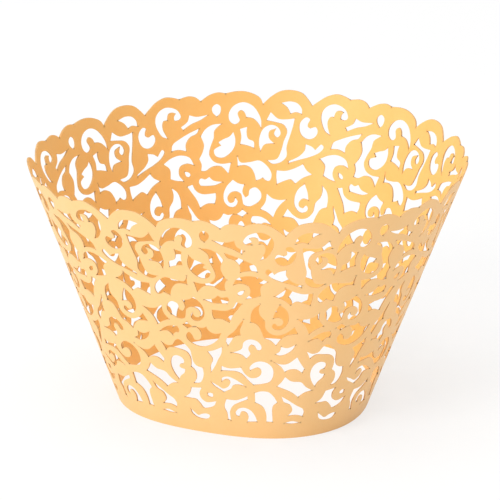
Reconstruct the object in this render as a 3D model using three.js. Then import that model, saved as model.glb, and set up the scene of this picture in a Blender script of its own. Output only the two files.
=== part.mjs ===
// Cupcake wrapper: a sleeve of thin gold card, wider at the top, with a scalloped rim and a
// filigree of scrolls, leaves and curls cut right through it. It is one closed ring of card,
// open above and below, standing on its plain base edge.
import * as THREE from 'three';

// Driving dimensions, in millimetres unless a comment says otherwise
const repeats = 7; // times that the drawn pattern goes round the sleeve
const notchRadius = 41; // radius at the foot of the deep rim notches
const baseRadius = 26.5; // radius of the edge that the sleeve stands on
const notchHeight = 46.6; // height of the deep rim notches above the base
const cardThickness = 0.3;
const patternTurn = 34; // degrees from +X to the first deep notch
const baseChords = 5; // straight steps of the base edge in one repeat
const chordSag = 0.42; // how far a chord may miss the curve that it follows

// The card is squeezed a little out of round. Each pair is the cosine and sine part of a wave
// round the ring, with 2, 3 and 4 crests, and the rim also leans to one side.
const firstCrests = 2;
const rimWaves = [[1.6, -0.9], [-1.1, -0.5], [0, 0.3]];
const baseWaves = [[-0.7, -0.8], [-0.8, -0.1], [-0.3, 0.6]];
const rimLean = 1.6;

// One repeat of the pattern, drawn flat: x along the card from one deep notch to the next, and
// y up the slope from the base edge. An outline runs smoothly through its points and turns
// sharply at those marked as a corner. The first point is always a corner.
const corner = true;

const rim = [
  [0, 49, corner], [0.5, 50.2], [1.6, 51.1], [3.2, 51.7], [4.8, 51.75],
  [6.45, 51.45, corner], [7.8, 51.75], [9.3, 51.3],
  [10.85, 50.2, corner], [11.7, 51.1], [12.9, 51.5],
  [14.7, 51.15, corner], [16, 51.7], [17.3, 51.9], [19, 51.2], [20.3, 50.1],
  [21.4, 49, corner], [22.2, 50.2], [23.4, 51.5], [25.2, 52], [27, 51.75], [28.6, 50.6],
  [30, 49, corner],
];

const rimCuts = {
  hook: [
    [0.2, 44, corner], [0.6, 46.9], [1.9, 48.8], [3.6, 49.45], [5.3, 48.6], [6, 46.8],
    [5.6, 45.2], [4.4, 44.95], [4, 46], [4.3, 47.3], [3.6, 47.8],
    [2.85, 46.3, corner], [1.2, 45.7],
  ],
  tear: [[8.1, 46.7, corner], [7.4, 47.4], [7.4, 48.6], [8.2, 49.35], [8.9, 48.2]],
  zigzag: [
    [9.5, 47.3, corner], [11.8, 47.1], [13.1, 47.6, corner], [13.5, 46.3],
    [14.8, 45.3, corner], [14.4, 44.6, corner], [12.4, 45.8],
  ],
  curl: [
    [15.95, 46.85, corner], [15.95, 47.7], [15.6, 48.4], [16.6, 48.5],
    [17.2, 47.2, corner], [18.2, 46.7], [18.1, 44.9],
    [17.5, 43.3, corner], [19, 44.7], [19.6, 46.8], [19.1, 48.7], [17.6, 49.85],
    [15.8, 49.4], [14.65, 47.7], [15.2, 46.75],
  ],
  crescent: [
    [23.1, 47.1, corner], [23.3, 48.5], [24.6, 49.6], [26.9, 49.3, corner], [25.7, 48.3],
    [25.1, 47.1, corner], [24.2, 47.4],
  ],
};

const upperCuts = {
  mitten: [
    [21.3, 44.35, corner], [21.85, 45.1], [21.5, 46.1], [22.3, 46.55], [23.3, 45],
    [23.1, 43.2], [21.6, 42], [20.1, 42.8], [20.1, 44.5],
  ],
  longTee: [
    [24.3, 46.2, corner], [26.5, 45.9], [28.6, 47.4, corner], [29.3, 45.5, corner],
    [26.7, 45.05], [25.5, 43.3], [26.3, 39.8], [27, 37.7], [28.9, 37.2, corner],
    [27.3, 36.5], [25.4, 38], [25.3, 40.8], [24.7, 43.6],
  ],
  wideCurl: [
    [27.5, 43.8, corner], [27.85, 42.8], [27.1, 42], [26.6, 42.9], [27.3, 44.3],
    [28.8, 44.6], [30.1, 43.2], [30.5, 41], [30.2, 39.2, corner], [29.4, 40.5],
    [27.6, 40.8, corner], [28.7, 42], [28.5, 43.6],
  ],
  sail: [
    [2.7, 44.3, corner], [4, 43.9, corner], [3.75, 42.3], [3.95, 40.6, corner],
    [1.4, 39.8, corner], [1.6, 41.3], [2.6, 42.3],
  ],
  comma: [
    [5.2, 43.3, corner], [4.85, 41.2], [5.5, 39.1], [7.2, 38], [8.7, 38.7], [8.7, 40.2],
    [7.5, 40.6, corner], [8, 41.35, corner], [6.2, 42.3],
  ],
  ribbon: [
    [7.2, 45.2, corner], [9.5, 44.9], [11.2, 42.9, corner], [10.7, 41],
    [11.75, 38.2, corner], [11.35, 37], [11.5, 35.6, corner], [10.4, 35.6], [7.8, 36.3],
    [6.2, 34.6, corner], [5.7, 36.9, corner], [8.2, 36.9], [9.75, 38.8], [8.9, 41.6],
    [8.6, 43.8],
  ],
  slant: [
    [11.4, 44.6, corner], [14.4, 43.4], [16.7, 41.9], [17.05, 40.5, corner],
    [14.1, 40.1, corner], [14, 41.9], [12, 43.4],
  ],
  fishtail: [
    [19.95, 39.95, corner], [21.95, 41, corner], [22.3, 39.1], [24.8, 37.2, corner],
    [24.6, 36.85, corner], [20.8, 38.4], [19, 39.5], [18.4, 40.6], [18.9, 41.25],
  ],
  cap: [
    [12.8, 37, corner], [13.8, 38.8], [16, 39.45], [18.9, 38.2, corner], [17.7, 36.8],
    [17.8, 34.8, corner], [15.1, 33.9, corner], [15.9, 35.6], [15.2, 37.3], [13.9, 37.4],
  ],
  eye: [[14.8, 35.9, corner], [14.1, 34.6], [13.6, 35], [14.1, 35.8]],
  bigLeaf: [
    [4.5, 38.2, corner], [4.4, 36.1, corner], [2.1, 35.8], [0.9, 33, corner], [0.2, 33.2],
    [-0.4, 33.7, corner], [-1, 33], [-1.8, 33], [-2, 34.7], [0.2, 37.1], [3.6, 36.9],
  ],
  pennant: [
    [20, 34.8, corner], [22, 36.8, corner], [23.9, 35.6], [27, 35.2, corner],
    [26.8, 32.3, corner], [24.6, 33.4], [23.2, 32.6, corner], [21.5, 34.05],
  ],
  slipper: [
    [7.3, 32.95, corner], [9.6, 32.3], [11.75, 32.5, corner], [12.1, 33.5], [11.4, 34.05],
    [10, 34.2, corner], [9.3, 33.45],
  ],
};

const middleCuts = {
  flag: [
    [14.5, 32.7, corner], [13.4, 33, corner], [11.9, 30.9], [8.8, 30.7, corner],
    [9.1, 28.4, corner], [10.6, 28.6], [12.1, 27.9, corner], [12.9, 30],
  ],
  longComma: [
    [14.8, 29, corner], [13.3, 26.5], [11.6, 24.5], [11.7, 22.3, corner], [12.4, 23.6],
    [14.2, 25.1, corner], [14.1, 26.8],
  ],
  curledLeaf: [
    [21.25, 32.7, corner], [22.6, 31.2], [23, 28.9], [21.7, 26.7], [20.1, 27.2],
    [20.5, 28.3], [21.2, 27.6, corner], [22, 28.5], [21.3, 29.65], [20.15, 29.4, corner],
  ],
  flame: [
    [17.8, 32.9, corner], [16.5, 31.5], [16.1, 28.4, corner], [17.4, 27.8], [18.3, 25.7],
    [20.1, 24], [21.1, 22.9, corner], [22.2, 24.6], [25.1, 25.6, corner],
    [24.3, 27.3, corner], [22, 25.6], [19.6, 26.1], [18.7, 28.9], [17.6, 30.8],
  ],
  kite: [
    [24.7, 29.2, corner], [26.4, 29.1], [28.7, 30.3, corner], [28.9, 28.4],
    [29.9, 27, corner], [27.2, 25.3, corner], [26.4, 27.3],
  ],
  swan: [
    [3.15, 32.2, corner], [4.3, 32.5], [5.4, 33.3, corner], [6.9, 31.5], [7.2, 29.2],
    [6.1, 27.6], [4.6, 27.9], [4.9, 29.5, corner], [5.3, 28.6], [6.3, 28.7], [6.2, 30.3],
    [4.8, 30.8], [3.7, 30], [3.3, 28], [1.9, 27.55], [0.45, 28.3, corner],
    [-0.25, 29.9], [1, 31.6], [2.2, 30.8], [2.9, 29.5, corner], [3.5, 30.8],
  ],
  wave: [
    [5.35, 26.1, corner], [7.4, 26.35, corner], [8.4, 25.1], [10.4, 25.2, corner],
    [9.2, 22.9], [6.6, 21.4], [4, 22], [3.15, 23.6], [3.9, 24.6], [4.9, 22.9],
    [6.1, 23.3], [6.2, 24.9],
  ],
  bird: [
    [-2.6, 23.7, corner], [-1, 25.1], [1.4, 25.55, corner], [1.6, 24.2, corner],
    [0.15, 23.25, corner], [-0.9, 24.1],
  ],
  tooth: [[2.55, 26.2, corner], [3.5, 26.95, corner], [4.7, 26, corner], [3.5, 25.4, corner]],
  seahorse: [
    [12.3, 20.7, corner], [14.3, 21.5], [14.9, 23.6], [16.4, 24.25], [18.1, 23.1],
    [18, 21.5], [17.2, 22], [16.4, 22.9], [15.8, 21.9], [16.2, 20.6, corner],
    [15.4, 19.4, corner], [14.3, 20.35],
  ],
  boat: [
    [24.9, 23, corner], [23.9, 21.2], [22.2, 20.4], [21.1, 20.8, corner], [22, 21.7],
    [22.1, 22.6, corner], [23.4, 22.35],
  ],
  leaf: [
    [10.4, 21.8, corner], [10.1, 19.9], [7.8, 15.3, corner], [8.35, 18.5],
    [7.3, 20.3, corner], [8.9, 21],
  ],
};

const lowerCuts = {
  longTail: [
    [-2.7, 21.1, corner], [-1.5, 20.5], [-0.2, 20.9], [1.2, 22.4], [3.2, 20.6],
    [3.9, 17.6], [6, 16.1, corner], [5.9, 13.6], [3.6, 12, corner], [4.4, 14.2],
    [3.3, 16, corner], [3.4, 18.2], [1.6, 19.9], [-0.6, 20.1], [-1.9, 19.3, corner],
  ],
  moon: [
    [0.05, 12.3, corner], [-1, 14.1], [-1.4, 16.2], [-0.6, 17.9], [0.7, 18.3], [1.9, 17.1],
    [1.3, 16.35, corner], [0.7, 15.8], [1.9, 15.1, corner], [0.8, 13.6],
  ],
  fox: [
    [20.4, 19.2, corner], [22.6, 18.3], [25.5, 19.95, corner], [27.3, 16.9, corner],
    [26.9, 16, corner], [25.2, 16.95], [23.3, 16.4, corner], [22.3, 17.8],
  ],
  bigCurl: [
    [10.2, 17.1, corner], [12.2, 16.85], [14.3, 17.2, corner], [15.2, 15.7],
    [16.7, 14.85], [18.4, 15.7], [18.1, 17.3], [16.2, 16.6, corner], [16.7, 18.3],
    [18.6, 19], [20.5, 17.9], [21, 15.6], [19.8, 13.7], [17, 13.1, corner],
    [15.5, 14.7], [13.6, 16], [10.1, 16, corner],
  ],
  serpent: [
    [7.6, 13, corner], [10.2, 11.6], [11.9, 12.7], [11.4, 14], [10.1, 13.3, corner],
    [10.6, 14.5], [12.6, 14.3], [15.4, 12.6, corner], [12.9, 12.8], [12, 11.6],
    [10.5, 10.7, corner], [9, 11.6],
  ],
  bat: [
    [23.4, 15.2, corner], [25, 14], [27.1, 13.6], [29.6, 11.4, corner], [28, 11],
    [26.7, 10.05, corner], [24.8, 11.5], [21.9, 12.9, corner],
  ],
  star: [
    [0.8, 8.1, corner], [2.3, 9.2], [2.8, 10.8, corner], [5.3, 11.1, corner], [4.7, 9.4],
    [6, 7.8], [8.6, 8.2, corner], [7, 6.4], [5.2, 6.1], [3.9, 7.9],
  ],
  dot: [[7.85, 10, corner], [7.8, 9.2], [6.7, 9.15], [6.65, 9.8]],
  bracket: [
    [11, 9.05, corner], [13.4, 9.05], [15.75, 10.25, corner], [15.8, 9.4, corner],
    [12.8, 7.8], [11.7, 5.9], [12, 3.9, corner], [11.3, 4, corner], [10.5, 7],
  ],
  goblet: [
    [17.35, 11.2, corner], [19.4, 11.7], [21.2, 10.6], [22.3, 8.9, corner], [21.3, 7.8],
    [21.6, 4.05, corner], [20.2, 4.1, corner], [19.7, 7.1], [17.5, 8.8, corner],
  ],
  bone: [
    [23.1, 10.4, corner], [25.4, 8.8], [28.2, 6.9], [28.3, 5.15, corner],
    [24.8, 5.5, corner], [25.7, 6.8], [25, 8.4], [23.6, 9.1],
  ],
};

const baseCuts = {
  doorway: [
    [18.1, 4.05, corner], [15.85, 3.85, corner], [15.8, 5.9], [14.6, 6.3],
    [13.95, 5.1, corner], [13.1, 5.6], [13.7, 6.9], [15.2, 7.35], [17.2, 6.1],
  ],
  smile: [[1.9, 5.5, corner], [3.9, 4.1], [6.8, 4.6, corner], [6, 3.4], [3.6, 3.4]],
  slot: [[24.2, 3.8, corner], [26, 4.2], [27.9, 3.65, corner], [26, 3.45]],
};

const cuts = Object.values({ ...rimCuts, ...upperCuts, ...middleCuts, ...lowerCuts, ...baseCuts });
const drawnWidth = rim[rim.length - 1][0] - rim[0][0];
const drawnHeight = rim[0][1];

// Curves: a run between two corners is a smooth curve, kept to the fewest chords.
const samplesPerPoint = 8;

function missOfChord(point, start, end) {
  const chord = new THREE.Line3(start, end);
  const nearest = chord.closestPointToPoint(point, true, new THREE.Vector3());
  return nearest.distanceTo(point);
}

function fewestChords(run) {
  const start = run[0];
  const end = run[run.length - 1];
  const misses = run.map((point) => missOfChord(point, start, end));
  const worst = Math.max(...misses);
  if (worst <= chordSag) return [start];
  const split = misses.indexOf(worst);
  return [...fewestChords(run.slice(0, split + 1)), ...fewestChords(run.slice(split))];
}

function smoothRun(points) {
  const stops = points.map(([x, y]) => new THREE.Vector3(x, y, 0));
  const curve = new THREE.CatmullRomCurve3(stops, false, 'centripetal');
  return fewestChords(curve.getPoints(samplesPerPoint * (stops.length - 1)));
}

function followOutline(outline) {
  const corners = outline.flatMap((point, index) => (point[2] ? [index] : []));
  return corners.slice(1).flatMap((last, k) => smoothRun(outline.slice(corners[k], last + 1)));
}

const closed = (outline) => followOutline([...outline, outline[0]]);
const shifted = (points, repeat) =>
  points.map((point) => new THREE.Vector2(point.x + repeat * drawnWidth, point.y));
const allRound = (points) =>
  Array.from({ length: repeats }, (_, repeat) => shifted(points, repeat));

const baseRun = Array.from(
  { length: baseChords },
  (_, step) => new THREE.Vector2((step * drawnWidth) / baseChords, 0),
);
const rimLoop = allRound(followOutline(rim)).flat();
const baseLoop = allRound(baseRun).flat();
const cutLoops = cuts.flatMap((outline) => allRound(closed(outline)));
const flatPoints = [rimLoop, baseLoop, ...cutLoops].flat();

// Triangles: the flat strip is bent into a plan ring, base edge inside and rim outside, where
// its two ends meet without a seam, and is triangulated there.
const flatLength = repeats * drawnWidth;

function planPoint(point) {
  const turn = (2 * Math.PI) / flatLength;
  const reach = Math.exp(turn * point.y);
  return new THREE.Vector2(reach * Math.cos(turn * point.x), reach * Math.sin(turn * point.x));
}

const plan = flatPoints.map(planPoint);
const area = (a, b, c) => plan[b].clone().sub(plan[a]).cross(plan[c].clone().sub(plan[a]));

function insideCircle(a, b, c, d) {
  const rows = [a, b, c].map((index) => {
    const arm = plan[index].clone().sub(plan[d]);
    return [arm.x, arm.y, arm.lengthSq()];
  });
  return new THREE.Matrix3().set(...rows.flat()).determinant() > 1e-12;
}

function sidesOf(triangle) {
  return triangle.map((a, k) => [a, triangle[(k + 1) % 3], triangle[(k + 2) % 3]]);
}

// One pass over the triangles that swaps the long shared side of two neighbours for the short
// one. It returns how many it swapped.
function swapLongSides(triangles) {
  const owner = new Map();
  triangles.forEach((triangle, t) => {
    sidesOf(triangle).forEach(([a, b, opposite]) => owner.set(`${a},${b}`, { t, opposite }));
  });
  const touched = new Set();
  triangles.forEach((triangle, t) => {
    for (const [a, b, c] of sidesOf(triangle)) {
      const twin = owner.get(`${b},${a}`);
      if (!twin || touched.has(t) || touched.has(twin.t)) continue;
      const d = twin.opposite;
      if (!insideCircle(a, b, c, d) || area(c, a, d) <= 0 || area(c, d, b) <= 0) continue;
      triangles[t] = [c, a, d];
      triangles[twin.t] = [c, d, b];
      touched.add(t);
      touched.add(twin.t);
    }
  });
  return touched.size;
}

function triangulatePlan() {
  const rings = [rimLoop, baseLoop, ...cutLoops].map((loop) => loop.map(planPoint));
  const raw = THREE.ShapeUtils.triangulateShape(rings[0], rings.slice(1));
  const triangles = raw.map(([a, b, c]) => (area(a, b, c) > 0 ? [a, b, c] : [a, c, b]));
  while (swapLongSides(triangles) > 0);
  return triangles;
}

// The wall: the flat pattern is laid on a cone that is a little out of round.
function wave(parts, angle) {
  return parts.reduce((sum, [cosine, sine], k) => {
    const crests = k + firstCrests;
    return sum + cosine * Math.cos(crests * angle) + sine * Math.sin(crests * angle);
  }, 0);
}

const turnSteps = 720;
const lengths = [0];
for (let step = 1; step <= turnSteps; step += 1) {
  const angle = ((step - 0.5) * 2 * Math.PI) / turnSteps;
  const swell = wave(rimWaves, angle) / notchRadius + wave(baseWaves, angle) / baseRadius;
  lengths.push(lengths[step - 1] + 1 + swell / 2);
}

// The direction from the axis at which this share of the way round the card is reached.
function angleAt(share) {
  const wanted = (share - Math.floor(share)) * lengths[turnSteps];
  const step = Math.max(1, lengths.findIndex((length) => length >= wanted));
  const part = (wanted - lengths[step - 1]) / (lengths[step] - lengths[step - 1]);
  return ((step - 1 + part) * 2 * Math.PI) / turnSteps;
}

function wallPoint(flat, inset) {
  const angle = angleAt(flat.x / flatLength + patternTurn / 360);
  const rise = flat.y / drawnHeight;
  const rimReach = notchRadius + wave(rimWaves, angle);
  const baseReach = baseRadius + wave(baseWaves, angle);
  const reach = baseReach + rise * (rimReach - baseReach) - inset;
  const x = reach * Math.cos(angle) + rise * rimLean;
  return new THREE.Vector3(x, reach * Math.sin(angle), rise * notchHeight);
}

function makeWrapper() {
  const faces = triangulatePlan();
  const count = flatPoints.length;
  const inner = flatPoints.map((flat) => wallPoint(flat, cardThickness));
  const outer = flatPoints.map((flat) => wallPoint(flat, 0));
  const sides = new Set(faces.flatMap((face) => sidesOf(face).map(([a, b]) => `${a},${b}`)));
  const edges = [...sides].map((side) => side.split(',').map(Number));
  const openEdges = edges.filter(([a, b]) => !sides.has(`${b},${a}`));
  const cutFaces = openEdges.flatMap(([a, b]) => [
    [b, a, a + count],
    [b, a + count, b + count],
  ]);
  const outerFaces = faces.map(([a, b, c]) => [a + count, c + count, b + count]);
  const geometry = new THREE.BufferGeometry().setFromPoints([...inner, ...outer]);
  geometry.setIndex([...faces, ...outerFaces, ...cutFaces].flat());
  geometry.computeVertexNormals();
  geometry.computeBoundingBox();
  const middle = geometry.boundingBox.getCenter(new THREE.Vector3());
  geometry.translate(-middle.x, -middle.y, 0);
  const goldCard = new THREE.MeshStandardMaterial({
    color: 0xfbd08a,
    roughness: 0.55,
    metalness: 0,
    flatShading: true,
  });
  const mesh = new THREE.Mesh(geometry, goldCard);
  mesh.name = 'wrapper';
  return mesh;
}

const cupcakeWrapper = new THREE.Group();
cupcakeWrapper.name = 'cupcake_wrapper';
cupcakeWrapper.add(makeWrapper());

export default cupcakeWrapper;
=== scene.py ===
"""Cupcake wrapper: a flared sleeve of thin pearl-gold card with a scalloped rim, cut right
through with a filigree of scrolls and leaves, on a plain white stage."""

import math

import bpy
import numpy as np
from mathutils import Matrix, Vector
from mathutils.geometry import delaunay_2d_cdt


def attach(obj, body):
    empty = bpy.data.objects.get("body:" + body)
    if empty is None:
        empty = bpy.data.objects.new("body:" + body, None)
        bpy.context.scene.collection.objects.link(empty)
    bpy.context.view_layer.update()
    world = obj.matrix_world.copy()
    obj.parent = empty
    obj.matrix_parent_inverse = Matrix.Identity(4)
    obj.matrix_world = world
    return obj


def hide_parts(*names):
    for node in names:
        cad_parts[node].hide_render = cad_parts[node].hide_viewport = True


bl_info = {
    "name": "Cupcake wrapper",
    "version": (1, 0, 0),
    "blender": (4, 5, 0),
    "location": "View3D > Sidebar > Wrapper",
    "description": "Makes a cut-card cupcake wrapper and the stage that it stands on",
    "category": "Add Mesh",
}

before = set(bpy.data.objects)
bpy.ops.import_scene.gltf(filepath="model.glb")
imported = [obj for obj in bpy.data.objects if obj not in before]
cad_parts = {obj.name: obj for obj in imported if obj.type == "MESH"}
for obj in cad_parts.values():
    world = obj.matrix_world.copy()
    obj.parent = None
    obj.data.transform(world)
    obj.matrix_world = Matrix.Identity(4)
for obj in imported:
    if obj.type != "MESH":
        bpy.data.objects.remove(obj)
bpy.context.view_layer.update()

MM = 0.001
CORNER = True

# One repeat of the pattern, drawn flat in millimetres: x along the card from one deep rim notch
# to the next, and y up the slope from the base edge. An outline runs smoothly through its points
# and turns sharply at those marked as a corner.
RIM = [
    (0, 49, CORNER), (0.5, 50.2), (1.6, 51.1), (3.2, 51.7), (4.8, 51.75), (6.45, 51.45, CORNER),
    (7.8, 51.75), (9.3, 51.3), (10.85, 50.2, CORNER), (11.7, 51.1), (12.9, 51.5),
    (14.7, 51.15, CORNER), (16, 51.7), (17.3, 51.9), (19, 51.2), (20.3, 50.1), (21.4, 49, CORNER),
    (22.2, 50.2), (23.4, 51.5), (25.2, 52), (27, 51.75), (28.6, 50.6), (30, 49, CORNER),
]

RIM_CUTS = {
    "hook": [
        (0.2, 44, CORNER), (0.25, 45.6), (0.8, 47.2), (1.8, 48.7), (3.4, 49.5), (5, 48.9),
        (5.95, 47.3), (5.8, 45.6), (4.9, 44.85), (4.05, 45.5), (4.4, 47.2), (3.8, 47.8),
        (3.2, 47.3), (2.85, 46.3, CORNER), (1.7, 46), (0.9, 45.2),
    ],
    "tear": [
        (8.1, 46.7, CORNER), (7.5, 47.3), (7.4, 48.8), (8.1, 49.4), (8.9, 48.7), (8.8, 47.6),
    ],
    "zigzag": [
        (9.5, 47.3, CORNER), (11.8, 47.1), (13.1, 47.6, CORNER), (13.5, 46.3),
        (14.8, 45.3, CORNER), (14.4, 44.6, CORNER), (12.8, 45.6), (11, 46.3),
    ],
    "curl": [
        (15.95, 46.9, CORNER), (15.95, 47.7), (15.55, 48.3, CORNER), (16.2, 48.6), (16.9, 48.4),
        (17.1, 47.9), (17.25, 47.1, CORNER), (17.9, 47.1), (18.25, 46.3), (18.2, 45.2),
        (17.9, 44.3), (17.5, 43.3, CORNER), (18.5, 43.9), (19.2, 45.2), (19.6, 46.8), (19.4, 48.2),
        (18.6, 49.3), (17.4, 49.85), (16.2, 49.6), (15.3, 49), (14.8, 48.2), (14.6, 47.4),
        (14.9, 46.9), (15.5, 46.75),
    ],
    "crescent": [
        (23.1, 47.1, CORNER), (23.2, 48.3), (24.1, 49.4), (25.4, 49.7), (26.9, 49.3, CORNER),
        (25.8, 48.4), (25.1, 47.1, CORNER), (24.2, 47.45),
    ],
}

UPPER_CUTS = {
    "mitten": [
        (21.3, 44.35, CORNER), (21.8, 44.6), (21.8, 45.4), (21.5, 46.2), (22.2, 46.6),
        (23.2, 45.5), (23.3, 43.9), (22.7, 42.6), (21.5, 42), (20.4, 42.5), (19.9, 43.7),
        (20.3, 44.7),
    ],
    "long_tee": [
        (24.3, 46.2, CORNER), (25.6, 45.95), (27.2, 46), (28.6, 47.35, CORNER),
        (29.3, 45.6, CORNER), (27.6, 45.2), (26.2, 44.7), (25.5, 43.3), (26, 41.3), (26.4, 39.2),
        (27.1, 37.6), (28.9, 37.25, CORNER), (27.9, 36.5), (26.3, 36.9), (25.3, 38.2),
        (25.4, 40.2), (24.9, 42.6), (24.5, 44.6),
    ],
    "wide_curl": [
        (27.5, 43.9, CORNER), (27.85, 42.7), (27.2, 42), (26.65, 42.9), (27.2, 44.2), (28.4, 44.7),
        (29.7, 44), (30.4, 42.3), (30.5, 40.5), (30.2, 39.2, CORNER), (29.5, 40.5),
        (27.7, 40.8, CORNER), (28.7, 41.9), (28.7, 43.3),
    ],
    "sail": [
        (2.7, 44.3, CORNER), (4, 43.9, CORNER), (3.75, 42.3), (3.95, 40.7, CORNER), (2.8, 40.4),
        (1.4, 39.8, CORNER), (1.5, 41.2), (2.5, 41.8), (2.8, 43),
    ],
    "comma": [
        (5.2, 43.3, CORNER), (4.85, 41.8), (5, 40.2), (5.8, 38.9), (7.2, 38), (8.5, 38.4),
        (8.85, 39.8), (8.2, 40.3), (7.5, 40.6, CORNER), (8, 41.35, CORNER), (6.9, 42),
        (5.95, 42.4),
    ],
    "ribbon": [
        (7.2, 45.2, CORNER), (9, 45.1), (10.4, 44.2), (11.2, 42.9, CORNER), (10.7, 41),
        (11.1, 39.4), (11.75, 38.2, CORNER), (11.35, 37), (11.5, 35.6, CORNER), (10.6, 35.5),
        (9.2, 36.3), (7.6, 36.2), (6.2, 34.6, CORNER), (5.7, 36.9, CORNER), (7.6, 36.8), (9, 37.4),
        (9.75, 38.8), (9.4, 40.6), (8.8, 42.2), (8.6, 43.8),
    ],
    "slant": [
        (11.4, 44.6, CORNER), (13.3, 43.85), (15.2, 42.9), (16.7, 41.9), (17.05, 40.5, CORNER),
        (15.6, 40.6), (14.1, 40.1, CORNER), (14.1, 41.5), (13.2, 42.9), (11.9, 43.5),
    ],
    "fishtail": [
        (19.95, 39.95, CORNER), (20.7, 40.6), (21.95, 41, CORNER), (22, 39.6), (22.9, 38.4),
        (24.8, 37.2, CORNER), (24.8, 36.8, CORNER), (22.8, 37.6), (20.8, 38.4), (19.2, 39.4),
        (18.4, 40.7), (18.9, 41.25), (19.5, 40.6),
    ],
    "cap": [
        (12.8, 37, CORNER), (13.6, 38.7), (15.4, 39.45), (17.2, 39.15), (18.9, 38.2, CORNER),
        (17.75, 36.9), (17.8, 34.8, CORNER), (16.5, 34.2), (15.1, 33.9, CORNER), (15.9, 35.3),
        (15.6, 37), (14.2, 37.5),
    ],
    "eye": [
        (14.8, 35.9, CORNER), (14.6, 35), (14, 34.6), (13.6, 35), (14.1, 35.7),
    ],
    "big_leaf": [
        (4.5, 38.2, CORNER), (4.4, 36.1, CORNER), (3, 36.2), (1.9, 35.6), (1.2, 34.3),
        (0.9, 33, CORNER), (0.2, 33.2), (-0.4, 33.6, CORNER), (-1, 33), (-1.7, 32.9), (-2.1, 34.1),
        (-1.6, 35.5), (0.3, 37.2), (2.2, 36.9), (3.9, 36.9),
    ],
    "pennant": [
        (20, 34.8, CORNER), (21.2, 35.6), (22, 36.8, CORNER), (23.6, 35.8), (25.2, 35.2),
        (27, 35.2, CORNER), (27, 33.8), (26.8, 32.3, CORNER), (25.2, 33.1), (24.2, 33.4),
        (23.2, 32.6, CORNER), (21.8, 33.9),
    ],
    "slipper": [
        (7.3, 32.95, CORNER), (8.8, 32.35), (10.6, 32.35), (11.75, 32.5, CORNER), (12.1, 33.4),
        (11.7, 34.1), (10.8, 33.8), (10, 34.25, CORNER), (9.2, 33.4),
    ],
}

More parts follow.
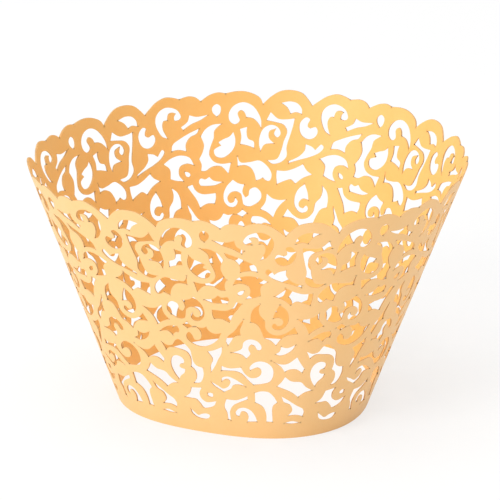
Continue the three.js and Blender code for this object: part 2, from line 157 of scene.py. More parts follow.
MIDDLE_CUTS = {
    "flag": [
        (14.5, 32.7, CORNER), (13.4, 33, CORNER), (12.8, 31.6), (11.6, 30.8), (8.8, 30.7, CORNER),
        (8.8, 29.5), (9.1, 28.5, CORNER), (10.6, 28.6), (12.1, 27.9, CORNER), (12.8, 29.8),
        (13.8, 31.5),
    ],
    "long_comma": [
        (14.8, 29, CORNER), (13.9, 27.6), (13, 26), (11.8, 24.7), (11.3, 23.2),
        (11.7, 22.3, CORNER), (12.3, 23.3), (12.9, 24.5), (14.2, 25.1, CORNER), (14.1, 26.5),
        (14.5, 27.6),
    ],
    "curled_leaf": [
        (21.25, 32.7, CORNER), (22.4, 31.6), (23.05, 30), (22.9, 28), (21.7, 26.7), (20.5, 26.9),
        (20.05, 27.7), (20.5, 28.3), (21.1, 27.65, CORNER), (21.9, 27.9), (22.1, 28.8),
        (21.4, 29.6), (20.15, 29.4, CORNER), (20.5, 31),
    ],
    "flame": [
        (17.8, 32.9, CORNER), (16.6, 31.7), (16.1, 30.1), (16.1, 28.4, CORNER), (17.4, 27.8),
        (18.2, 26.2), (18.8, 24.7), (20.1, 24), (21.1, 22.9, CORNER), (22, 24.4), (23, 25.3),
        (25.1, 25.6, CORNER), (24.3, 27.3, CORNER), (22.9, 26), (21.4, 25.4), (19.9, 25.8),
        (18.95, 27), (18.7, 28.9), (17.8, 30.2), (17.55, 31.6),
    ],
    "kite": [
        (24.7, 29.2, CORNER), (26.2, 29.05), (27.6, 29.4), (28.7, 30.3, CORNER), (28.9, 28.5),
        (29.9, 27, CORNER), (28.4, 26.3), (27.2, 25.3, CORNER), (26.6, 26.9), (25.8, 28.1),
    ],
    "swan": [
        (3.15, 32.2, CORNER), (4.3, 32.5), (5.4, 33.3, CORNER), (6.6, 32), (7.25, 30.4),
        (7.1, 28.7), (6.1, 27.6), (5, 27.6), (4.45, 28.6), (4.9, 29.5, CORNER), (5.3, 28.6),
        (6.1, 28.5), (6.5, 29.4), (5.9, 30.5), (4.8, 30.8), (3.8, 30.2), (3.5, 29), (3.2, 27.9),
        (2, 27.55), (0.45, 28.3, CORNER), (-0.2, 29.3), (-0.1, 30.6), (1, 31.6), (2.1, 31.1),
        (2.3, 29.9), (2.95, 29.5, CORNER), (3.5, 30.6),
    ],
    "wave": [
        (5.35, 26.1, CORNER), (6.5, 25.95), (7.4, 26.35, CORNER), (8.1, 25.3), (9.2, 24.9),
        (10.4, 25.2, CORNER), (9.7, 23.6), (8.6, 22.4), (7, 21.5), (5.4, 21.4), (4, 22),
        (3.2, 22.8), (3.15, 23.9), (3.8, 24.6), (4.4, 23.9), (4.8, 22.9), (5.7, 22.9), (6.3, 23.8),
        (6.1, 25.2),
    ],
    "bird": [
        (-2.6, 23.7, CORNER), (-1.5, 24.8), (0, 25.5), (1.4, 25.55, CORNER), (1.75, 24.8),
        (1.5, 24.1, CORNER), (0.8, 24), (0.15, 23.25, CORNER), (-0.9, 24.1),
    ],
    "tooth": [
        (2.55, 26.2, CORNER), (3.5, 26.95, CORNER), (4, 26.5), (4.7, 26, CORNER), (4.2, 25.75),
        (3.5, 25.4, CORNER),
    ],
    "seahorse": [
        (12.3, 20.7, CORNER), (13.6, 21.2), (14.5, 21.9), (14.8, 23.4), (15.8, 24.2), (17.2, 24),
        (18.2, 22.9), (18.3, 21.8), (17.6, 21.6), (17, 22.6), (16.3, 22.9), (15.75, 21.9),
        (16.2, 20.6), (15.4, 19.4, CORNER), (14.4, 20.3),
    ],
    "boat": [
        (24.9, 23, CORNER), (24.5, 21.9), (23.3, 20.8), (22, 20.4), (21.1, 20.8, CORNER),
        (21.9, 21.5), (22.1, 22.6, CORNER), (23.3, 22.3),
    ],
    "leaf": [
        (10.4, 21.8, CORNER), (10.3, 20.4), (9.5, 18.6), (8.7, 16.8), (7.8, 15.3, CORNER),
        (7.8, 16.8), (8.35, 18.5), (7.3, 20.3, CORNER), (8.7, 20.8),
    ],
}

LOWER_CUTS = {
    "long_tail": [
        (-2.7, 21.1, CORNER), (-1.5, 20.5), (-0.3, 20.8), (0.4, 21.9), (1.3, 22.4), (2.9, 21),
        (3.6, 20), (3.75, 18.8), (4, 17.4), (4.6, 16.5), (6, 16.1, CORNER), (6.1, 14.6),
        (5.7, 13.2), (4.9, 12.2), (3.6, 12, CORNER), (4.3, 13.2), (4.4, 14.4), (4, 15.4),
        (3.3, 16, CORNER), (3.5, 17.2), (3.4, 18.4), (2.7, 19.5), (1, 20), (-0.9, 20.1),
        (-1.9, 19.3, CORNER),
    ],
    "moon": [
        (0.05, 12.3, CORNER), (-0.8, 13.6), (-1.4, 15.4), (-1.2, 17), (-0.6, 17.9), (0.4, 18.3),
        (1.5, 17.9), (1.9, 17.1), (1.5, 16.4, CORNER), (0.8, 16.2), (0.7, 15.5),
        (1.9, 15.1, CORNER), (1.6, 14.2), (0.7, 13.4),
    ],
    "fox": [
        (20.4, 19.2, CORNER), (22, 18.4), (23.6, 18.4), (25.5, 19.95, CORNER), (26.3, 18.4),
        (27.3, 16.9, CORNER), (26.9, 16, CORNER), (25.6, 16.9), (24.2, 16.9), (23.3, 16.4, CORNER),
        (22.4, 17.7),
    ],
    "big_curl": [
        (10.2, 17.2, CORNER), (11, 16.9), (12.2, 16.8), (13.3, 17), (14.3, 17.2, CORNER),
        (14.6, 16.6), (15, 15.9), (15.7, 15.2), (16.5, 14.8), (17.6, 15), (18.4, 15.7),
        (18.5, 16.8), (17.8, 17.4), (17, 17.1), (16.2, 16.6, CORNER), (16.1, 17.4), (17, 18.6),
        (18.3, 19), (19.8, 18.5), (20.8, 17.2), (21, 15.5), (20.4, 14), (18.8, 13.4),
        (17, 13.1, CORNER), (16.1, 13.9), (15.05, 15.1), (14.4, 15.7), (13.3, 16.1), (11.8, 16.1),
        (10.1, 16, CORNER),
    ],
    "serpent": [
        (7.6, 13, CORNER), (9.2, 12.2), (10.3, 11.6), (11.5, 12.2), (12, 13.3), (11.5, 14),
        (10.8, 13.9), (10.1, 13.3, CORNER), (10.2, 14.2), (11.4, 14.7), (13, 14.2), (14.3, 13.4),
        (15.4, 12.6, CORNER), (13.7, 12.9), (12.6, 12.6), (12, 11.6), (10.5, 10.7, CORNER),
        (9.3, 11.4), (8.2, 12.1),
    ],
    "bat": [
        (23.4, 15.2, CORNER), (24.8, 14.1), (26.9, 13.7), (28, 12.5), (29.6, 11.4, CORNER),
        (28, 11), (26.7, 10.05, CORNER), (25, 11.4), (21.9, 12.9, CORNER), (22.8, 14),
    ],
    "star": [
        (0.8, 8.1, CORNER), (2.1, 9.1), (2.8, 10.8, CORNER), (4, 10.95), (5.3, 11.1, CORNER),
        (4.7, 9.8), (5, 8.5), (6.2, 7.7), (8.6, 8.2, CORNER), (8, 7), (6.7, 6.3), (5.4, 6.1),
        (4.6, 7.1), (3.6, 8), (2.2, 8.05),
    ],
    "dot": [
        (6.7, 9.9, CORNER), (7.3, 10.15), (7.9, 10, CORNER), (7.9, 9.2), (7.2, 9.05), (6.6, 9.4),
    ],
    "bracket": [
        (11, 9.05, CORNER), (13.2, 9.05), (14.6, 9.6), (15.75, 10.25, CORNER), (15.8, 9.4, CORNER),
        (14.2, 8.6), (12.6, 7.6), (11.8, 6.2), (12, 3.9, CORNER), (11.3, 4, CORNER), (11.1, 5.6),
        (10.5, 7),
    ],
    "goblet": [
        (17.35, 11.2, CORNER), (18.6, 11.65), (20.2, 11.5), (21.3, 10.5), (22.3, 8.9, CORNER),
        (21.4, 7.9), (21.6, 4.05, CORNER), (20.2, 4.1, CORNER), (20, 6.2), (19.2, 7.8),
        (17.5, 8.8, CORNER),
    ],
    "bone": [
        (23.1, 10.4, CORNER), (24.6, 9.4), (26.4, 8.1), (28.1, 7), (28.5, 6.1),
        (28.3, 5.15, CORNER), (26.8, 5.6), (24.8, 5.5, CORNER), (25.7, 6.8), (25.2, 8.2),
        (23.7, 9),
    ],
}

BASE_CUTS = {
    "doorway": [
        (13.95, 5.1, CORNER), (13.3, 5.2), (13.1, 5.9), (13.8, 7), (15, 7.35), (16.4, 6.9),
        (17.5, 5.6), (18.1, 4.05, CORNER), (15.85, 3.85, CORNER), (16.1, 5.2), (15.5, 6.2),
        (14.5, 6.3),
    ],
    "smile": [
        (1.9, 5.5, CORNER), (2.9, 4.7), (3.8, 4.1), (5, 4.6), (6.3, 4.75), (6.9, 4.4, CORNER),
        (6.2, 3.5), (4.8, 3.3), (3.2, 3.6), (2.2, 4.4),
    ],
    "slot": [
        (24.2, 3.8, CORNER), (25.9, 4.2), (27.9, 3.65, CORNER), (26, 3.5),
    ],
}
CUTS = [*RIM_CUTS.values(), *UPPER_CUTS.values(), *MIDDLE_CUTS.values(), *LOWER_CUTS.values(),
        *BASE_CUTS.values()]
DRAWN_WIDTH = RIM[-1][0] - RIM[0][0]
DRAWN_HEIGHT = RIM[0][1]

# The sleeve is squeezed a little out of round. Each pair holds the cosine and sine part, in
# millimetres, of a wave round the ring with 2, 3 and 4 crests.
FIRST_CRESTS = 2
RIM_WAVES = [(1.6, -0.9), (-1.1, -0.5), (0, 0.3)]
BASE_WAVES = [(-0.7, -0.8), (-0.8, -0.1), (-0.3, 0.6)]

TURN_STEPS = 720  # steps round the ring in which its swell is added up
SPAN_STEPS = 24  # points from one drawn point of an outline to the next, before spacing
FLOOR_SIDES = 96  # straight sides of the round floor
BASE_STEPS = 60  # points along the base edge in one repeat
SHEET_MARGIN = 0.36  # steps kept free between an outline and the points in the card
SCORCH_REACH = 0.22  # millimetres from a corner at which its scorch has faded to a third

# Noise scales in cells to the metre.
CLOUD_SCALE = 160
SPECK_SCALE = 420
STREAK_SCALE = 700
GRAIN_SCALE = 900
FIBRE_SCALE = 2600

# A corner is burnt where the speck noise passes the level, more so the further it passes, and
# never blacker than the depth.
SPECK_LEVEL = 0.4
SPECK_CONTRAST = 5.0
SPECK_DEPTH = 0.85

# Each lamp's place and width in metres.
KEY_PLACE = Vector((-0.95, -0.75, 0.75))
KEY_WIDTH = 0.7
TOP_PLACE = Vector((-0.15, 0.1, 1.2))
TOP_WIDTH = 0.9


class WrapperSizes(bpy.types.PropertyGroup):
    """Sizes and colours of the card sleeve."""

    repeats: bpy.props.IntProperty(
        name="Repeats", description="Times that the pattern goes round", default=7, min=3, max=14)
    notch_radius: bpy.props.FloatProperty(
        name="Notch radius", description="Radius at the foot of the deep rim notches",
        default=0.041, min=0.01, max=0.2, unit="LENGTH")
    base_radius: bpy.props.FloatProperty(
        name="Base radius", description="Radius of the edge that the sleeve stands on",
        default=0.0265, min=0.01, max=0.2, unit="LENGTH")
    notch_height: bpy.props.FloatProperty(
        name="Notch height", description="Height of the deep rim notches above the base",
        default=0.0466, min=0.01, max=0.2, unit="LENGTH")
    card_thickness: bpy.props.FloatProperty(
        name="Card thickness", description="Thickness of the card, measured level",
        default=0.0003, min=0.0001, max=0.002, unit="LENGTH", precision=5)
    pattern_turn: bpy.props.FloatProperty(
        name="Pattern turn", description="Angle from +X to the first deep notch",
        default=math.radians(34), subtype="ANGLE")
    rim_lean: bpy.props.FloatProperty(
        name="Rim lean", description="How far the rim leans towards +X",
        default=0.0016, unit="LENGTH", precision=5)
    axis_offset: bpy.props.FloatVectorProperty(
        name="Axis offset", description="Where the base ring's axis stands in the row's frame",
        size=2, default=(-0.00054, -0.00023), unit="LENGTH", precision=5)
    outline_step: bpy.props.FloatProperty(
        name="Outline step", description="Spacing of the points along a cut, in millimetres",
        default=0.34, min=0.1, max=2)
    sheet_step: bpy.props.FloatProperty(
        name="Sheet step", description="Spacing of the points in the card, in millimetres",
        default=0.56, min=0.2, max=5)
    card_colour: bpy.props.FloatVectorProperty(
        name="Card colour", description="Pale gold of the card's outer face", size=3,
        default=(0.965, 0.622, 0.28), min=0, max=1, subtype="COLOR")
    deep_colour: bpy.props.FloatVectorProperty(
        name="Deep colour", description="Darker gold that clouds the outer face", size=3,
        default=(0.94, 0.55, 0.215), min=0, max=1, subtype="COLOR")
    # The inner face's two golds are painted bounce light: warmer and more orange than the outer
    # face's, they stand in for the gold light bouncing round inside the sleeve.
    inner_bounce_colour: bpy.props.FloatVectorProperty(
        name="Inner colour", description="Warmer gold of the card's inner face", size=3,
        default=(0.975, 0.595, 0.205), min=0, max=1, subtype="COLOR")
    inner_deep_bounce_colour: bpy.props.FloatVectorProperty(
        name="Inner deep colour", description="Orange gold that clouds the inner face", size=3,
        default=(0.955, 0.525, 0.145), min=0, max=1, subtype="COLOR")
    # The cut edges' brown is the cutter's scorch, darkened further as painted shade on the edges.
    cut_scorch_and_shade_colour: bpy.props.FloatVectorProperty(
        name="Cut colour", description="Scorched brown of the cut edges", size=3,
        default=(0.44, 0.265, 0.12), min=0, max=1, subtype="COLOR")
    scorch_colour: bpy.props.FloatVectorProperty(
        name="Scorch colour", description="Burnt specks where a cut turns a corner", size=3,
        default=(0.07, 0.042, 0.022), min=0, max=1, subtype="COLOR")


class StageSizes(bpy.types.PropertyGroup):
    """Camera, floor and light."""

    camera_distance: bpy.props.FloatProperty(
        name="Camera distance", description="Level distance from the ring's axis to the camera",
        default=0.85339, min=0.1, unit="LENGTH")
    camera_height: bpy.props.FloatProperty(
        name="Camera height", description="Height of the camera above the floor",
        default=0.34761, min=0, unit="LENGTH")
    camera_pitch: bpy.props.FloatProperty(
        name="Camera pitch", description="How far the camera looks down",
        default=math.radians(20.455), subtype="ANGLE")
    camera_yaw: bpy.props.FloatProperty(
        name="Camera yaw", description="Turn of the camera to the left",
        default=math.radians(-0.052), subtype="ANGLE")
    camera_roll: bpy.props.FloatProperty(
        name="Camera roll", description="Tilt of the camera about its own line of sight",
        default=math.radians(-0.971), subtype="ANGLE")
    lens: bpy.props.FloatProperty(
        name="Lens", description="Focal length in millimetres", default=328.72, min=10)
    floor_radius: bpy.props.FloatProperty(
        name="Floor radius", description="Radius of the round floor", default=4, min=1,
        unit="LENGTH")
    floor_glow: bpy.props.FloatProperty(
        name="Floor glow",
        description="Share of glow in the floor, low enough to keep the sleeve's shadow",
        default=0.7, min=0, max=1)
    key_power: bpy.props.FloatProperty(
        name="Key power", description="Power of the large lamp to the left", default=9.2, min=0)
    top_power: bpy.props.FloatProperty(
        name="Top power", description="Power of the soft lamp overhead", default=5.0, min=0)
    sky_strength: bpy.props.FloatProperty(
        name="Sky strength", description="Strength of the even light from all round",
        default=0.62, min=0)


# Outlines

def smooth_run(points):
    """A smooth line through the points, as an (n, 2) array without its last point.

    It is a centripetal Catmull-Rom curve: each knot lies the square root of the last chord
    further on, and a point on a span is three rounds of straight-line blends between knots. The
    two phantom points repeat the first and last chord outwards."""
    points = np.array(points, float)
    ends = 2 * points[[0, -1]] - points[[1, -2]]
    points = np.vstack([ends[:1], points, ends[1:]])
    knots = np.concatenate([[0], np.cumsum(np.sqrt(np.hypot(*np.diff(points, axis=0).T)))])
    at = knots[1:-2, None] + np.diff(knots)[1:-1, None] * np.arange(SPAN_STEPS) / SPAN_STEPS

    def blend(left, right, start, end):
        part = ((at - start[:, None]) / (end - start)[:, None])[..., None]
        return left * (1 - part) + right * part

    p = [points[k:len(points) - 3 + k, None] for k in range(4)]
    t = [knots[k:len(knots) - 3 + k] for k in range(4)]
    first = [blend(p[k], p[k + 1], t[k], t[k + 1]) for k in range(3)]
    second = [blend(first[k], first[k + 1], t[k], t[k + 2]) for k in range(2)]
    fine = blend(second[0], second[1], t[1], t[2]).reshape(-1, 2)
    return np.vstack([fine, points[-2:-1]])


def trace(outline, step):
    """An outline as an (n, 3) array of x, y and how near the point lies to a corner.

    Each run between two corners is laid smoothly, and then cut into equal steps of its length.
    Nearness is a bell curve of the distance along the line, 1 at the corner."""
    corners = [k for k, point in enumerate(outline) if len(point) == 3]
    pieces = []
    for start, end in zip(corners, corners[1:]):
        run = smooth_run([point[:2] for point in outline[start:end + 1]])
        length = np.concatenate([[0], np.cumsum(np.hypot(*np.diff(run, axis=0).T))])
        stops = np.linspace(0, length[-1], max(2, math.ceil(length[-1] / step) + 1))[:-1]
        x, y = (np.interp(stops, length, run[:, axis]) for axis in (0, 1))
        near = np.exp(-(np.minimum(stops, length[-1] - stops) / SCORCH_REACH) ** 2)
        pieces.append(np.column_stack([x, y, near]))
    return np.vstack(pieces)


def clockwise(line):
    """The closed line in clockwise order, which the plan ring mirrors: half the sum of the
    cross products of neighbouring points is then less than 0."""
    x, y = line[:, 0], line[:, 1]
    area = (x * np.roll(y, -1) - y * np.roll(x, -1)).sum() / 2
    return line if area < 0 else line[::-1]


def all_round(points, repeats):
    """The same points in every repeat, each moved on by the drawn width, as a list of arrays."""
    return [points + np.array([k * DRAWN_WIDTH, 0, 0]) for k in range(repeats)]


def sheet_points(outlines, step):
    """Points inside the card in one repeat: a grid of triangles of side step, less the points
    that lie too near an outline."""
    rows = np.arange(step * 0.6, max(point[1] for point in RIM), step * math.sqrt(0.75))
    columns = np.arange(round(DRAWN_WIDTH / step)) * DRAWN_WIDTH / round(DRAWN_WIDTH / step)
    x, y = np.meshgrid(columns, rows)
    x = x + (np.arange(len(rows)) % 2)[:, None] * (columns[1] - columns[0]) / 2
    points = np.column_stack([x.ravel(), y.ravel()])
    lines = np.vstack([line[:, :2] + (k * DRAWN_WIDTH, 0) for line in outlines for k in (-1, 0, 1)])
    gaps = [np.hypot(*(lines[:, None] - part).T).min(axis=1)
            for part in np.array_split(points, 40)]
    kept = points[np.concatenate(gaps) > step * SHEET_MARGIN]
    return np.column_stack([kept, np.zeros(len(kept))])


def cut_sheet(sizes):
    """The flat card as points (x, y, nearness to a corner) and triangles.

    The strip is bent into a plan ring, where its two ends meet: the radius is the exponential
    of the height, so that small shapes keep their proportions. The ring is triangulated there
    along all outlines, and triangles inside a cut or inside the base edge are left out."""
    repeats = sizes.repeats
    cuts = [clockwise(trace([*outline, outline[0]], sizes.outline_step)) for outline in CUTS]
    rim = trace(RIM, sizes.outline_step)
    base_stops = np.linspace(0, DRAWN_WIDTH, BASE_STEPS, endpoint=False)
    base = np.column_stack([base_stops, 0 * base_stops, 0 * base_stops])
    inside = sheet_points([rim, base, *cuts], sizes.sheet_step)
    loops = [np.vstack(all_round(rim, repeats)), np.vstack(all_round(base, repeats))]
    loops += [turned for cut in cuts for turned in all_round(cut, repeats)]
    flat = np.vstack([*loops, *all_round(inside, repeats)])
    turn = 2 * math.pi / (repeats * DRAWN_WIDTH)
    reach = np.exp(turn * flat[:, 1])
    plan = np.column_stack([reach * np.cos(turn * flat[:, 0]), reach * np.sin(turn * flat[:, 0])])
    starts = np.cumsum([0, *(len(loop) for loop in loops)])
    rings = [list(range(start, end)) for start, end in zip(starts, starts[1:])]
    found = delaunay_2d_cdt([Vector(point) for point in plan], [], rings, 0, 1e-7, True)
    corners, triangles, origins, owners = found[0], found[2], found[3], found[5]
    if len(corners) != len(flat):
        raise RuntimeError("two outlines of the pattern cross or touch")
    order = np.array([origin[0] for origin in origins])
    card = [triangle for triangle, owner in zip(triangles, owners) if list(owner) == [0]]
    return flat, order[np.array(card)]


# The wall

def wave(parts, angle):
    """Sum of cosine and sine waves round the ring, with 2, 3, 4 ... crests, in metres."""
    return MM * sum(
        cosine * np.cos((k + FIRST_CRESTS) * angle) + sine * np.sin((k + FIRST_CRESTS) * angle)
        for k, (cosine, sine) in enumerate(parts))


def angle_at(share, sizes):
    """Direction from the axis at which a share of the way round the card is reached: the ring's
    swell is added up in small steps, and the sum is read backwards."""
    angle = (np.arange(TURN_STEPS) + 0.5) * 2 * np.pi / TURN_STEPS
    swell = (wave(RIM_WAVES, angle) / sizes.notch_radius
             + wave(BASE_WAVES, angle) / sizes.base_radius)
    length = np.concatenate([[0], np.cumsum(1 + swell / 2)])
    steps = np.interp((share % 1) * length[-1], length, np.arange(TURN_STEPS + 1))
    return steps * 2 * np.pi / TURN_STEPS


def wall_points(flat, inset, sizes):
    """The flat pattern laid on a cone that is a little out of round: the reach grows in a
    straight line from the base ring to the notch ring, and the rim leans to one side."""
    share = flat[:, 0] / (sizes.repeats * DRAWN_WIDTH) + sizes.pattern_turn / (2 * math.pi)
    angle = angle_at(share, sizes)
    rise = flat[:, 1] / DRAWN_HEIGHT
    rim_reach = sizes.notch_radius + wave(RIM_WAVES, angle)
    base_reach = sizes.base_radius + wave(BASE_WAVES, angle)
    reach = base_reach + rise * (rim_reach - base_reach) - inset
    x = reach * np.cos(angle) + rise * sizes.rim_lean + sizes.axis_offset[0]
    y = reach * np.sin(angle) + sizes.axis_offset[1]
    return np.column_stack([x, y, rise * sizes.notch_height])


def sleeve_mesh(sizes):
    """The card as one closed skin: an inner face, an outer face and the cut edges between.

    A side that belongs to one triangle only is an outline, and gets a strip of two triangles."""
    flat, card = cut_sheet(sizes)
    count = len(flat)
    inner = wall_points(flat, sizes.card_thickness, sizes)
    outer = wall_points(flat, 0, sizes)
    a, b, c = inner[card].transpose(1, 0, 2)
    inward = (np.cross(b - a, c - a)[:, :2] * a[:, :2]).sum(axis=1) < 0
    card = np.where(inward[:, None], card, card[:, ::-1])
    sides = np.vstack([card[:, [0, 1]], card[:, [1, 2]], card[:, [2, 0]]])
    forward = sides[:, 0] * count + sides[:, 1]
    backward = sides[:, 1] * count + sides[:, 0]
    start, end = sides[~np.isin(forward, backward)].T
    strips = np.vstack([
        np.column_stack([end, start, start + count]),
        np.column_stack([end, start + count, end + count]),
    ])
    faces = np.vstack([card, card[:, ::-1] + count, strips])
    mesh = bpy.data.meshes.new("wrapper_sleeve")
    mesh.from_pydata(np.vstack([inner, outer]), [], faces)
    mesh.polygons.foreach_set("use_smooth", np.ones(len(faces), bool))
    slots = np.repeat([0, 1], [2 * len(card), len(strips)])
    mesh.polygons.foreach_set("material_index", slots)
    scorch = mesh.attributes.new("scorch", "FLOAT", "POINT")
    scorch.data.foreach_set("value", np.concatenate([flat[:, 2], flat[:, 2]]))
    # Marks the inner face, which gets the painted bounce-light golds.
    inside = mesh.attributes.new("inside", "FLOAT", "POINT")
    inside.data.foreach_set("value", np.repeat([1.0, 0.0], count))
    ends = np.zeros(len(mesh.edges) * 2, int)
    mesh.edges.foreach_get("vertices", ends)
    low, high = np.sort(ends.reshape(-1, 2)).T
    outline = {*zip(np.minimum(start, end), np.maximum(start, end))}
    keys = np.array([pair[0] * 2 * count + pair[1] for pair in outline])
    rims = np.concatenate([keys, keys + count * 2 * count + count])
    sharp = np.isin(low * 2 * count + high, rims)
    mesh.edges.foreach_set("use_edge_sharp", sharp)
    mesh.update()
    return mesh


# Materials

class Number:
    """A number on a shader socket. Its operators add Math nodes to the material."""

    def __init__(self, sketch, socket):
        self.sketch = sketch
        self.socket = socket

    def math(self, operation, *others):
        return self.sketch.maths(operation, self, *others)

    def __add__(self, other):
        return self.math("ADD", other)

    def __radd__(self, other):
        return self.sketch.maths("ADD", other, self)

    def __sub__(self, other):
        return self.math("SUBTRACT", other)

    def __rsub__(self, other):
        return self.sketch.maths("SUBTRACT", other, self)

    def __mul__(self, other):
        return self.math("MULTIPLY", other)

    def __rmul__(self, other):
        return self.sketch.maths("MULTIPLY", other, self)

    def __pow__(self, other):
        return self.math("POWER", other)


class Sketch:
    """The node tree of one material or of the world."""

    def __init__(self, owner):
        owner.use_nodes = True
        self.tree = owner.node_tree
        self.tree.nodes.clear()

    def node(self, kind, settings=None, **sockets):
        """Adds a node. Settings come first, and then each socket is given a value or a link. A
        socket's name is written with _ for each space, or as _ and its number."""
        made = self.tree.nodes.new(kind)
        for name, value in (settings or {}).items():
            setattr(made, name, value)
        for name, value in sockets.items():
            key = int(name[1:]) if name[1:].isdigit() else name.replace("_", " ")
            self.join(made.inputs[key], value)
        return made

    def join(self, socket, value):
        if isinstance(value, Number):
            value = value.socket
        if isinstance(value, bpy.types.NodeSocket):
            self.tree.links.new(value, socket)
        else:
            socket.default_value = value

    def maths(self, operation, *terms):
        made = self.node("ShaderNodeMath", {"operation": operation})
        for socket, term in zip(made.inputs, terms):
            self.join(socket, term)
        return Number(self, made.outputs[0])

    def noise(self, place, scale, detail=2.0, roughness=0.5):
        made = self.node("ShaderNodeTexNoise", None, Vector=place, Scale=scale, Detail=detail,
                         Roughness=roughness)
        return Number(self, made.outputs["Fac"])

    def attribute(self, name):
        made = self.node("ShaderNodeAttribute", {"attribute_name": name})
        return Number(self, made.outputs["Fac"])

    def mix(self, part, first, second):
        made = self.node("ShaderNodeMix", {"data_type": "RGBA"}, _0=part, _6=first, _7=second)
        return made.outputs[2]

    def finish(self, shader):
        self.node("ShaderNodeOutputMaterial", None, Surface=shader)


def colour(values):
    return (*values, 1.0)


def pearl_card(sizes):
    """Pearl-gold card: a pale gold clouded with a deeper one, a warmer, more orange pair on the
    inner face that is painted bounce light from the gold walls inside the sleeve, fine fibres in
    its bump and roughness, and burnt specks at some of the corners that the cutter turned."""
    material = bpy.data.materials.new("pearl_gold_card")
    sketch = Sketch(material)
    place = sketch.node("ShaderNodeTexCoord").outputs["Object"]
    clouds = sketch.noise(place, CLOUD_SCALE, 3.0, 0.6)
    fibres = sketch.noise(place, FIBRE_SCALE, 2.0, 0.6)
    grain = sketch.noise(place, GRAIN_SCALE, 4.0, 0.65)
    inside = sketch.attribute("inside")
    # The inner face takes the warmer golds, painted bounce light from the gold walls inside the
    # sleeve.
    light = sketch.mix(inside, colour(sizes.card_colour), colour(sizes.inner_bounce_colour))
    deep = sketch.mix(inside, colour(sizes.deep_colour), colour(sizes.inner_deep_bounce_colour))
    tone = sketch.mix(clouds * 0.7 + fibres * 0.3, light, deep)
    chance = (sketch.noise(place, SPECK_SCALE, 1.0, 0.5) - SPECK_LEVEL) * SPECK_CONTRAST
    depth = chance.math("MAXIMUM", 0.0).math("MINIMUM", SPECK_DEPTH)
    burnt = sketch.attribute("scorch") ** 3.0 * depth
    skin = sketch.mix(burnt, tone, colour(sizes.scorch_colour))
    bump = sketch.node("ShaderNodeBump", None, Strength=0.25, Distance=0.00003,
                       Height=grain * 0.6 + fibres * 0.4)
    shader = sketch.node("ShaderNodeBsdfPrincipled", None, Base_Color=skin,
                         Roughness=0.4 + grain * 0.16, Metallic=0.05,
                         Specular_IOR_Level=0.55, Normal=bump.outputs[0])
    sketch.finish(shader.outputs[0])
    return material


def scorched_and_shaded_edge(sizes):
    """The cut edge: card browned by the cutter and darkened further with painted shade, darkest at
    the corners.
    """
    material = bpy.data.materials.new("scorched_and_shaded_cut_edge")
    sketch = Sketch(material)
    place = sketch.node("ShaderNodeTexCoord").outputs["Object"]
    streaks = sketch.noise(place, STREAK_SCALE, 3.0, 0.6)
    # The edge brown is real scorch plus painted shade.
    tone = sketch.mix(streaks, colour(sizes.cut_scorch_and_shade_colour), colour(sizes.deep_colour))
    burnt = sketch.mix(sketch.attribute("scorch") ** 1.5, tone, colour(sizes.scorch_colour))
    shader = sketch.node("ShaderNodeBsdfPrincipled", None, Base_Color=burnt, Roughness=0.85)
    sketch.finish(shader.outputs[0])
    return material


class WrapperSleeve(bpy.types.Operator):
    """Makes the card sleeve and lets it stand for the plain one"""

    bl_idname = "mesh.wrapper_sleeve"
    bl_label = "Card sleeve"

    def execute(self, context):
        sizes = context.scene.wrapper_sizes
        sleeve = bpy.data.objects.new("wrapper_sleeve", sleeve_mesh(sizes))
        context.scene.collection.objects.link(sleeve)
        sleeve.data.materials.append(pearl_card(sizes))
        sleeve.data.materials.append(scorched_and_shaded_edge(sizes))
        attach(sleeve, "root")
        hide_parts("wrapper")
        return {"FINISHED"}


class WrapperStage(bpy.types.Operator):
    """Makes the white floor, the soft light and the camera"""

    bl_idname = "scene.wrapper_stage"
    bl_label = "Stage"

    def execute(self, context):
        scene = context.scene
        stage = scene.wrapper_stage
        make_floor(stage)
        light_scene(scene, stage)
        scene.camera = make_camera(stage, scene.wrapper_sizes)
        scene.view_settings.view_transform = "Standard"
        return {"FINISHED"}


def seen_directly(sketch):
    """1 for what the camera sees, straight or in a gloss or through a clear thing."""
    rays = sketch.node("ShaderNodeLightPath").outputs
    flags = [Number(sketch, rays[name])
             for name in ("Is Camera Ray", "Is Glossy Ray", "Is Transmission Ray")]
    return flags[0].math("MAXIMUM", flags[1]).math("MAXIMUM", flags[2])


def make_floor(stage):
    """A flat round floor: each point is radius times the cosine and sine of its angle. A share
    of glow whitens it and leaves the sleeve's shadow."""
    angle = np.linspace(0, 2 * np.pi, FLOOR_SIDES, endpoint=False)
    ring = stage.floor_radius * np.column_stack([np.cos(angle), np.sin(angle), 0 * angle])
    mesh = bpy.data.meshes.new("white_floor")
    mesh.from_pydata(ring, [], [tuple(range(FLOOR_SIDES))])
    floor = bpy.data.objects.new("white_floor", mesh)
    bpy.context.scene.collection.objects.link(floor)
    material = bpy.data.materials.new("white_floor")
    sketch = Sketch(material)
    matt = sketch.node("ShaderNodeBsdfDiffuse", None, Color=(0.93, 0.93, 0.93, 1)).outputs[0]
    glow = sketch.node("ShaderNodeEmission", None, Color=(1, 1, 1, 1), Strength=1.0).outputs[0]
    share = seen_directly(sketch) * stage.floor_glow
    mixed = sketch.node("ShaderNodeMixShader", None, _0=share, _1=matt, _2=glow)
    sketch.finish(mixed.outputs[0])
    mesh.materials.append(material)


def light_scene(scene, stage):
    """An even sky that looks white, a large soft lamp to the left and one overhead."""
    world = bpy.data.worlds.new("white_sky")
    scene.world = world
    sketch = Sketch(world)
    strength = seen_directly(sketch) * (1 - stage.sky_strength) + stage.sky_strength
    sky = sketch.node("ShaderNodeBackground", None, Color=(1, 1, 1, 1), Strength=strength)
    sketch.node("ShaderNodeOutputWorld", None, Surface=sky.outputs[0])
    add_lamp("key_lamp", KEY_PLACE, KEY_WIDTH, stage.key_power)
    add_lamp("top_lamp", TOP_PLACE, TOP_WIDTH, stage.top_power)


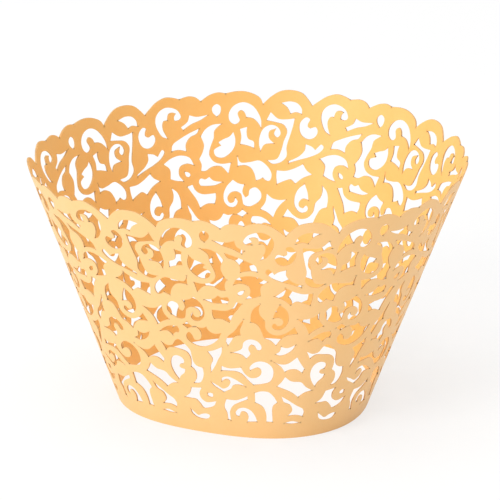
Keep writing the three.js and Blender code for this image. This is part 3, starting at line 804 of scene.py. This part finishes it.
def add_lamp(name, place, width, power):
    """A round soft lamp that faces the middle of the floor."""
    light = bpy.data.lights.new(name, "AREA")
    light.shape = "DISK"
    light.size = width
    light.energy = power
    lamp = bpy.data.objects.new(name, light)
    turn = place.to_track_quat("Z", "Y").to_matrix().to_4x4()
    lamp.matrix_world = Matrix.Translation(place) @ turn
    bpy.context.scene.collection.objects.link(lamp)


def make_camera(stage, sizes):
    """The camera stands in front at its height, is turned by its yaw, looks down by its pitch
    and is rolled about its line of sight."""
    data = bpy.data.cameras.new("camera")
    data.sensor_width = 36
    data.lens = stage.lens
    data.clip_start = 0.05
    data.clip_end = 50
    camera = bpy.data.objects.new("camera", data)
    place = Matrix.Translation((sizes.axis_offset[0], sizes.axis_offset[1] - stage.camera_distance,
                                stage.camera_height))
    turn = (Matrix.Rotation(stage.camera_yaw, 4, "Z")
            @ Matrix.Rotation(math.pi / 2 - stage.camera_pitch, 4, "X")
            @ Matrix.Rotation(stage.camera_roll, 4, "Z"))
    camera.matrix_world = place @ turn
    bpy.context.scene.collection.objects.link(camera)
    return camera


class WrapperPanel(bpy.types.Panel):
    """Sizes, colours and the buttons that make the pieces"""

    bl_idname = "VIEW3D_PT_wrapper"
    bl_label = "Cupcake wrapper"
    bl_space_type = "VIEW_3D"
    bl_region_type = "UI"
    bl_category = "Wrapper"

    def draw(self, context):
        for group in (context.scene.wrapper_sizes, context.scene.wrapper_stage):
            for name in group.bl_rna.properties.keys():
                if name not in ("name", "rna_type"):
                    self.layout.prop(group, name)
        self.layout.operator(WrapperSleeve.bl_idname)
        self.layout.operator(WrapperStage.bl_idname)


CLASSES = (WrapperSizes, StageSizes, WrapperSleeve, WrapperStage, WrapperPanel)


def register():
    for made in CLASSES:
        bpy.utils.register_class(made)
    bpy.types.Scene.wrapper_sizes = bpy.props.PointerProperty(type=WrapperSizes)
    bpy.types.Scene.wrapper_stage = bpy.props.PointerProperty(type=StageSizes)


def unregister():
    del bpy.types.Scene.wrapper_sizes
    del bpy.types.Scene.wrapper_stage
    for made in reversed(CLASSES):
        bpy.utils.unregister_class(made)


def main():
    register()
    bpy.ops.scene.wrapper_stage()
    bpy.ops.mesh.wrapper_sleeve()


if __name__ == "__main__":
    main()
